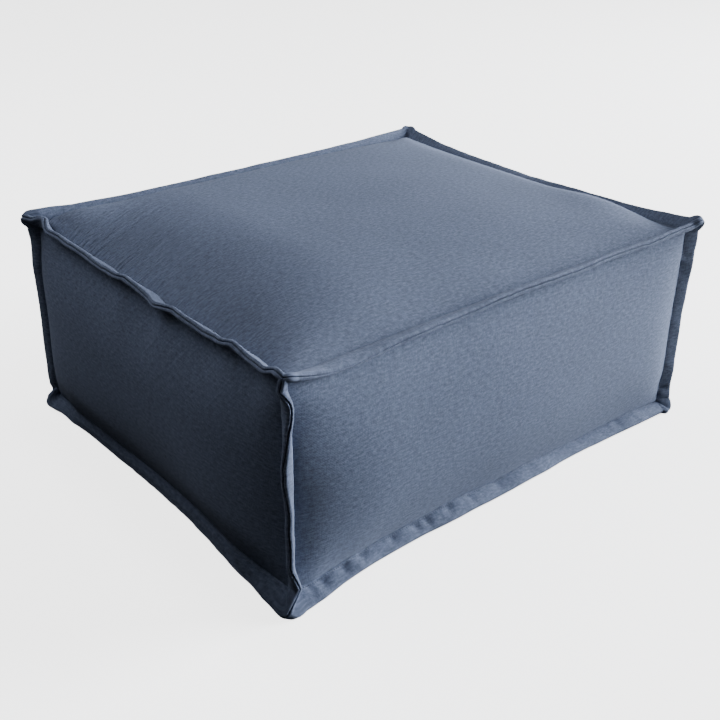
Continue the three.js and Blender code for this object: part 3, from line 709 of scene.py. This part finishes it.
grids, room, gathers = {}, {}, {}
for panel in panels:
    grids[panel], room[panel] = panelGrid(panel)
rough, where, pinned = bodyMesh("roughBody", grids)
filled = fillOut(rough, pinned)
for panel, numbers in where.items():
    moved = filled[numbers] - grids[panel]
    size = np.linalg.norm(moved, axis=-1, keepdims=True)
    cap = room[panel] + body["capAtSeam"]
    grids[panel] = grids[panel] + moved * cap * np.tanh(size / cap) / np.maximum(size, 1e-6)
    grids[panel][..., 2] = np.maximum(grids[panel][..., 2], 0)
    print("filled out", panel, "by up to %.1f mm, mean %.1f" % (size.max(), size.mean()))
bpy.data.objects.remove(rough)
for panel, grid in grids.items():
    grid = finer(finer(grid, 0), 1)
    # front to back the cells are halved once more, for the pleats
    if 1 in (edges[name]["axis"] for name in loops[panel]):
        grid = finer(grid, 0 if panel in ("top", "bottom") else 1)
    grids[panel], gathers[panel] = puckered(panel, grid)
filledBody = bodyMesh("filledBody", grids, body["underside"], gathers)[0]
print("filled body made")

# Topstitching: every stitch is a short length of thread that dips into the cloth at both ends
thread = {
    "pitch": 4.2, "length": 3.4, "radius": 0.42,
    "out": 1.6,  # how far out on the flange it is sewn
    "rise": 0.55, "sunk": 0.35,
    "cornerGap": 6,
    "along": (0, 0.18, 0.5, 0.82, 1),  # places along a stitch
    "thick": (0.55, 0.9, 1, 0.9, 0.55),  # and its thickness there
    "sides": 4,
}


# The line of the stitching on a ply's outer face, and the direction off it
def outerLine(panel, name, out):
    edge = edges[name]
    share = out / flange["width"]
    height = np.interp(share, levels, outerFace)
    i = np.searchsorted(levels, share) - 1
    t = (share - levels[i]) / (levels[i + 1] - levels[i])
    middle = edge["middle"][:, i] * (1 - t) + edge["middle"][:, i + 1] * t
    normals = edge["normals"][panel]
    side = unit(normals[:, i] * (1 - t) + normals[:, i + 1] * t)
    return middle + side * height, side


def stitches():
    points, faces = [], []
    part, sides = np.array(thread["along"]), thread["sides"]
    radius = thread["radius"] * np.array(thread["thick"])[None, :, None]
    rise = thread["rise"] * np.sin(np.pi * part) ** 0.5 - thread["sunk"]
    for name in edges:
        for panel in edges[name]["panels"]:
            line, side = outerLine(panel, name, thread["out"])
            walked = np.concatenate([[0], np.cumsum(np.linalg.norm(np.diff(line, axis=0), axis=1))])
            starts = np.arange(thread["cornerGap"], walked[-1] - thread["cornerGap"], thread["pitch"])
            at = starts[:, None] + part[None, :] * thread["length"]
            centre = np.stack([np.interp(at, walked, line[:, i]) for i in range(3)], -1)
            up = unit(np.stack([np.interp(at, walked, side[:, i]) for i in range(3)], -1))
            centre = centre + up * rise[None, :, None]
            aside = np.cross(unit(centre[:, -1:] - centre[:, :1]), up)
            ring = np.stack([centre + radius * aside, centre + radius * up,
                             centre - radius * aside, centre - radius * up], 2)
            base = sum(len(p) for p in points)
            numbers = base + np.arange(ring[..., 0].size).reshape(len(starts), len(part), sides)
            numbers = np.concatenate([numbers, numbers[:, :, :1]], 2)
            faces += quads(numbers).tolist()
            faces += numbers[:, 0, sides - 1::-1].tolist() + numbers[:, -1, :sides].tolist()
            points.append(ring.reshape(-1, 3))
    return meshOf("topstitching", np.concatenate(points), faces)


topstitching = stitches()
pointsEach = len(thread["along"]) * thread["sides"]
print("topstitching made:", len(topstitching.data.vertices) // pointsEach, "stitches")


# A linear colour from an sRGB hex value
def colourOf(hexValue):
    parts = [int(hexValue[i:i + 2], 16) / 255 for i in (1, 3, 5)]
    return tuple(c / 12.92 if c <= 0.04045 else ((c + 0.055) / 1.055) ** 2.4 for c in parts) + (1,)


# Adds a node with its links and settings. A node among the inputs stands for its first output in use.
def addNode(tree, kind, inputs=None, **settings):
    node = tree.nodes.new("ShaderNode" + kind)
    for key, value in settings.items():
        setattr(node, key, value)
    for key, value in (inputs or {}).items():
        if isinstance(value, bpy.types.Node):
            value = next(socket for socket in value.outputs if socket.enabled)
        if isinstance(value, bpy.types.NodeSocket):
            tree.links.new(value, node.inputs[key])
        else:
            node.inputs[key].default_value = value
    return node


# A new material, and addNode for its own nodes
def newMaterial(name):
    material = bpy.data.materials.new(name)
    material.use_nodes = True
    material.node_tree.nodes.clear()
    return material, functools.partial(addNode, material.node_tree)


# Woven polyester melange: dark, mid and pale filaments twisted into each yarn, so that a plain weave of
# warp and weft shows as fine streaks both ways. The yarns are really about 0.7 mm apart, too fine for a
# picture of the whole piece, so they are drawn 2 mm apart. All lengths are in millimetres.
melange = {
    "yarn": 2.0, "streak": 7.0,
    "slub": (10.0, 3.2),  # length and spacing of the weft's slubs
    "weft": 0.6, "turn": 0.2,  # how much the weft shows, and how far warp and weft take turns on top
    "dark": "#4b5261", "mid": "#646d82", "pale": "#7e879d",
    "blotch": 22.0, "cool": "#9ba4bd", "warm": "#99a4ab", "dye": 0.25,  # uneven dye: its hues and how strong
    "fade": 160.0, "fadeDeep": 0.06,  # broad drift of the cloth's lightness
    "bump": 0.12, "crownHigh": 0.4, "slubHigh": 3.0, "slubFiner": 1.3,
    "crumple": 0.08, "crumpleSize": 16.0,
    "crease": (90.0, 10.0), "creaseDeep": 14.0,  # length, spacing and depth of creases by a gathered seam
    "sheen": 0.12, "sheenTint": "#b9c4d9",
}


def wovenMelange():
    material, add = newMaterial("wovenPolyesterMelange")
    yarn, streak = melange["yarn"], melange["streak"]
    uv = add("UVMap", uv_map="cloth")
    mm = add("VectorMath", {0: uv, "Scale": 1000.0}, operation="SCALE")
    # streaks of each filament colour along the warp, then along the weft
    streaks = []
    slubLong, slubApart = melange["slub"]
    for scale in ((1 / yarn, 1 / streak, 1), (1 / slubLong, 1 / slubApart, 1)):
        stretched = add("VectorMath", {0: mm, 1: scale}, operation="MULTIPLY")
        noise = add("TexNoise", {"Vector": stretched, "Scale": 1.0, "Detail": 3.0, "Roughness": 0.6})
        ramp = add("ValToRGB", {"Fac": noise})
        stops = ramp.color_ramp.elements
        stops.new(0.5)
        for stop, place, name in zip(stops, (0.3, 0.5, 0.7), ("dark", "mid", "pale")):
            stop.position = place
            stop.color = colourOf(melange[name])
        streaks.append(ramp)
    # a plain weave: warp and weft take turns on top
    parts = add("SeparateXYZ", {0: mm})
    waves = []
    for i in (0, 1):
        turned = add("Math", {0: parts.outputs[i], 1: math.pi / yarn}, operation="MULTIPLY")
        waves.append(add("Math", {0: turned}, operation="SINE"))
    product = add("Math", {0: waves[0], 1: waves[1]}, operation="MULTIPLY")
    onTop = add("Math", {0: product, 1: melange["turn"], 2: melange["weft"]}, operation="MULTIPLY_ADD")
    woven = add("Mix", {"Factor": onTop, "A": streaks[0], "B": streaks[1]}, data_type="RGBA")
    # dye takes a little unevenly: blotches drift between a cooler and a warmer grey blue
    blotch = add("TexNoise", {"Vector": mm, "Scale": 1 / melange["blotch"], "Detail": 2.0})
    hue = add("Mix", {
        "Factor": blotch, "A": colourOf(melange["cool"]), "B": colourOf(melange["warm"])}, data_type="RGBA")
    dyed = add("Mix", {
        "Factor": melange["dye"], "A": woven, "B": hue}, data_type="RGBA", blend_type="OVERLAY")
    broad = add("TexNoise", {"Vector": mm, "Scale": 1 / melange["fade"], "Detail": 2.0})
    worn = add("MapRange", {
        "Value": broad, "From Min": 0.3, "From Max": 0.7,
        "To Min": 1 - melange["fadeDeep"], "To Max": 1 + melange["fadeDeep"]})
    shade = add("HueSaturation", {"Value": worn, "Color": dyed})
    # height: the yarns' crowns, their slubs, and a soft crumple of the whole cloth
    crowns = add("Math", {0: product, 1: melange["crownHigh"]}, operation="MULTIPLY")
    slubScale = (melange["slubFiner"] / slubLong, melange["slubFiner"] / slubApart, 1)
    weft = add("VectorMath", {0: mm, 1: slubScale}, operation="MULTIPLY")
    slub = add("TexNoise", {"Vector": weft, "Scale": 1.0, "Detail": 2.0})
    thick = add("Math", {0: slub, 1: melange["slubHigh"]}, operation="MULTIPLY")
    height = add("Math", {0: crowns, 1: thick}, operation="ADD")
    weaveBump = add("Bump", {"Height": height, "Strength": 0.6, "Distance": melange["bump"] / 1000})
    # fine creases run in from the seam that gathers the cloth most; the body carries where they lie
    gather = add("Attribute", attribute_name="gather")
    creaseLong, creaseApart = melange["crease"]
    run = add("VectorMath", {
        0: gather.outputs["Vector"], 1: (1 / creaseApart, 1 / creaseLong, 0)}, operation="MULTIPLY")
    crease = add("TexNoise", {"Vector": run, "Scale": 1.0, "Detail": 1.0})
    strength = add("SeparateXYZ", {0: gather.outputs["Vector"]})
    aside = add("Math", {0: crease, 1: 0.5}, operation="SUBTRACT")
    ridge = add("Math", {0: aside}, operation="ABSOLUTE")
    creaseHigh = add("Math", {0: ridge, 1: strength.outputs[2]}, operation="MULTIPLY")
    creaseBump = add("Bump", {
        "Height": creaseHigh, "Distance": melange["creaseDeep"] / 1000, "Normal": weaveBump})
    crumple = add("TexNoise", {
        "Vector": mm, "Scale": 1 / melange["crumpleSize"], "Detail": 3.0, "Roughness": 0.45})
    bump = add("Bump", {
        "Height": crumple, "Strength": 0.5, "Distance": melange["crumple"] / 1000, "Normal": creaseBump})
    shader = add("BsdfPrincipled", {
        "Base Color": shade, "Roughness": 0.92, "Normal": bump, "Specular IOR Level": 0.2,
        "Sheen Weight": melange["sheen"], "Sheen Tint": colourOf(melange["sheenTint"])})
    add("OutputMaterial", {"Surface": shader})
    return material


# Bonded polyester thread, a shade darker than the cloth, with a slight gloss and its twist's light and dark
bonded = {"dark": "#4a556b", "pale": "#6a768f", "twist": 2.5, "roughness": 0.55, "sheen": 0.1}


def bondedThread():
    material, add = newMaterial("bondedPolyesterThread")
    place = add("TexCoord")
    noise = add("TexNoise", {"Vector": place.outputs["Object"], "Scale": 1000 / bonded["twist"]})
    colour = add("Mix", {
        "Factor": noise, "A": colourOf(bonded["dark"]), "B": colourOf(bonded["pale"])}, data_type="RGBA")
    shader = add("BsdfPrincipled", {
        "Base Color": colour, "Roughness": bonded["roughness"], "Sheen Weight": bonded["sheen"]})
    add("OutputMaterial", {"Surface": shader})
    return material


cloth = wovenMelange()
for piece in [filledBody, *margins.values()]:
    piece.data.materials.append(cloth)
topstitching.data.materials.append(bondedThread())
print("materials made")

# The room: a pale painted floor, and a round backdrop in the same paint that closes low views
studio = {
    "floorSize": 40, "backdropRadius": 19, "backdropHeight": 24,
    "paint": "#f2f2f2", "paintRoughness": 0.8,
    "glow": 3.0,  # it looks nearly white, as the photograph's cut-out does
    "fillLight": 0.03,
    "flagPlace": (-0.505, 0.02, 0.1), "flagSize": (0.08, 0.8, 1),
}
bpy.ops.mesh.primitive_plane_add(size=studio["floorSize"], location=(0, 0, 0))
floor = bpy.context.object
floor.name = "floor"
bpy.ops.mesh.primitive_cylinder_add(
    vertices=96, radius=studio["backdropRadius"], depth=studio["backdropHeight"],
    end_fill_type="NOTHING", location=(0, 0, studio["backdropHeight"] / 2))
backdrop = bpy.context.object
backdrop.name = "backdrop"
backdrop.visible_shadow = False
paint = bpy.data.materials.new("paintedFloor")
paint.use_nodes = True
for key, value in {"Base Color": colourOf(studio["paint"]), "Roughness": studio["paintRoughness"],
                   "Emission Color": (1, 1, 1, 1), "Emission Strength": studio["glow"]}.items():
    paint.node_tree.nodes["Principled BSDF"].inputs[key].default_value = value
for surface in (floor, backdrop):
    surface.data.materials.append(paint)
    surface.visible_diffuse = surface.visible_glossy = False  # their light is kept off the cloth
    surface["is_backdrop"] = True

# A narrow flag, out of the camera's sight, shades the flange on the floor at the left
bpy.ops.mesh.primitive_plane_add(size=1, location=studio["flagPlace"])
flag = bpy.context.object
flag.name = "blackFlag"
flag.scale = studio["flagSize"]
flag.visible_camera = flag.visible_diffuse = flag.visible_glossy = False
flag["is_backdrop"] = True

world = bpy.context.scene.world or bpy.data.worlds.new("studio")
bpy.context.scene.world = world
world.use_nodes = True
fill = world.node_tree.nodes["Background"].inputs
fill["Color"].default_value = (1, 1, 1, 1)
fill["Strength"].default_value = studio["fillLight"]

# A large low softbox on the right, a weaker one overhead towards the back, and a faint card in front. Each
# faces the middle of the ottoman.
aim = Vector((0, 0, 0.2))
lights = {
    "sideSoftbox": {"direction": (0.93, -0.37, 0.185), "distance": 6.0, "size": 3.4, "power": 1470,
                    "colour": "#f5f9ff"},
    "topSoftbox": {"direction": (-0.47, 0.61, 1.0), "distance": 3.2, "size": 3.0, "power": 67,
                   "colour": "#fafbff"},
    "frontCard": {"direction": (0.2, -1.0, 0.1), "distance": 6.0, "size": 3.4, "power": 35,
                  "colour": "#ffffff"},
}
for name, facts in lights.items():
    data = bpy.data.lights.new(name, "AREA")
    data.size = facts["size"]
    data.energy = facts["power"]
    data.color = colourOf(facts["colour"])[:3]
    light = bpy.data.objects.new(name, data)
    way = Vector(facts["direction"]).normalized()
    light.location = way * facts["distance"] + aim
    light.rotation_euler = (-way).to_track_quat("-Z", "Y").to_euler()
    bpy.context.scene.collection.objects.link(light)

# The camera stands where the photograph's perspective puts it
view = {"place": (-1.1153, -1.2981, 1.0091), "azimuth": -40.60, "elevation": 27.82, "roll": 0.84,
        "lens": 52.465, "sensor": 36}


def cameraAt(view):
    a, e, r = (math.radians(view[k]) for k in ("azimuth", "elevation", "roll"))
    back = np.array([math.sin(a) * math.cos(e), -math.cos(a) * math.cos(e), math.sin(e)])
    right = unit(np.cross(-back, (0, 0, 1)))
    up = np.cross(back, right)
    right, up = math.cos(r) * right + math.sin(r) * up, math.cos(r) * up - math.sin(r) * right
    data = bpy.data.cameras.new("camera")
    data.lens = view["lens"]
    data.sensor_width = view["sensor"]
    camera = bpy.data.objects.new("camera", data)
    turn = Matrix([list(row) for row in np.stack([right, up, back], 1)]).to_4x4()
    camera.matrix_world = Matrix.Translation(view["place"]) @ turn
    bpy.context.scene.collection.objects.link(camera)
    bpy.context.scene.camera = camera


cameraAt(view)
print("room, lights and camera made")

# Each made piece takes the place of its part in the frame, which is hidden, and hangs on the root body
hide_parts("filled_body")
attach(filledBody, "root")
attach(topstitching, "root")
for panel, piece in margins.items():
    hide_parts(panel + "_panel_margin")
    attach(piece, "root")

low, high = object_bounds()
